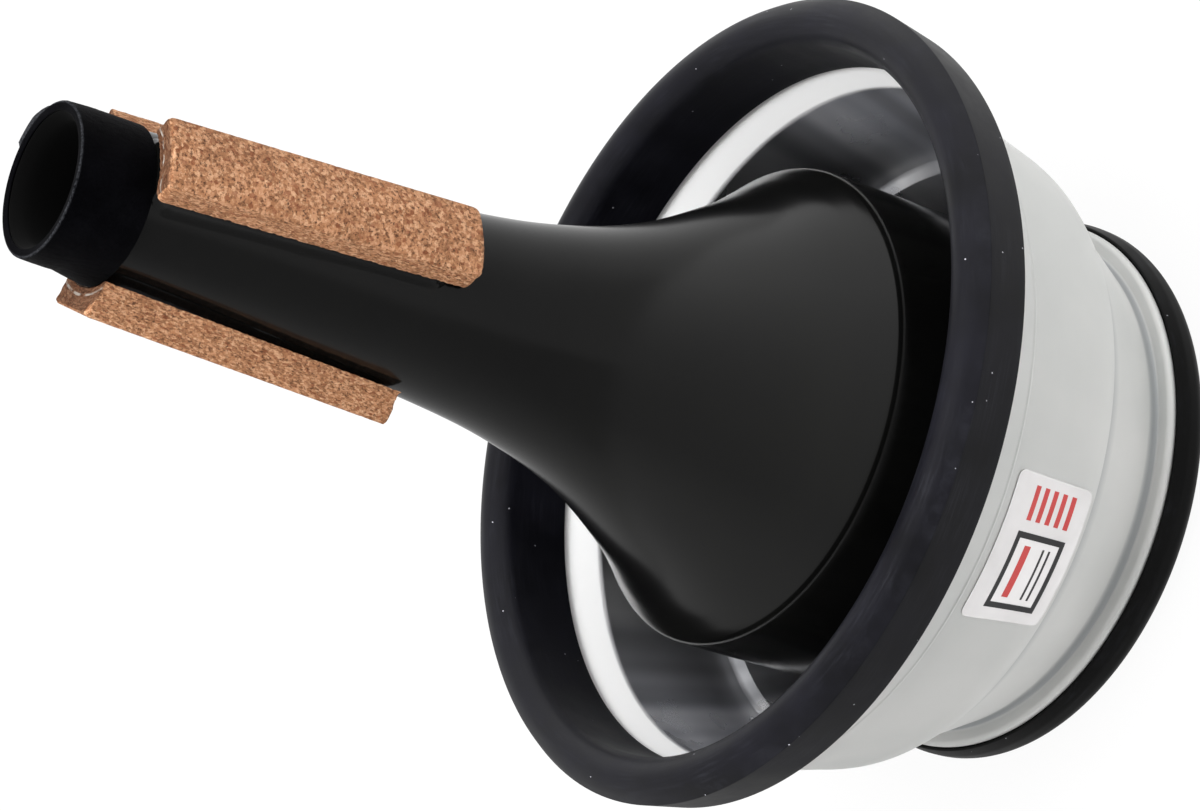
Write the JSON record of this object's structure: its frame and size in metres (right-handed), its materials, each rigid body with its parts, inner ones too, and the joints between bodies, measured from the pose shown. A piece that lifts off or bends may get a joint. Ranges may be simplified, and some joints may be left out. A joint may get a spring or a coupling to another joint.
{
  "type": "trumpet cup mute",
  "caption": "Trumpet cup mute: hollow flared horn with cork strips and a felt band at the throat, and a rubber-edged spun metal cup that slides and turns on its skirt.",
  "frame": {"origin": "centre of the skirt's rear edge, on which the mute stands", "axes": "+Z runs along the horn's axis from the base to the throat; +X points at the middle of the side that the picture shows"},
  "size_m": [0.133, 0.133, 0.1874],
  "materials": {
    "horn_plastic": "black moulded plastic, satin to gloss",
    "plate_plastic": "black moulded plastic, fine matt",
    "cork": "pressed granulated cork, sanded",
    "felt": "black short-pile felt",
    "rubber": "black moulded rubber, dull with a slight bloom",
    "cup_metal": "spun aluminium, satin, turning marks around the axis",
    "label": "white printed sticker, semi-gloss"
  },
  "bodies": {
    "mute": {"mute_horn": "horn_plastic", "base_plate": "plate_plastic", "cork_strip_1": "cork", "cork_strip_2": "cork", "cork_strip_3": "cork", "throat_band": "felt"},
    "grip": {"grip_ring": "rubber"},
    "cup": {"cup_shell": "cup_metal", "bell_ring": "rubber", "cup_label": "label"}
  },
  "joints": [
    {"name": "cup_slide", "type": "slide", "parent": "mute", "child": "grip", "axis": [0, 0, 1], "range_m": [0, 0.02]},
    {"name": "cup_turn", "type": "hinge", "parent": "grip", "child": "cup", "pos_m": [0, 0, 0], "axis": [0, 0, 1], "continuous": true}
  ]
}
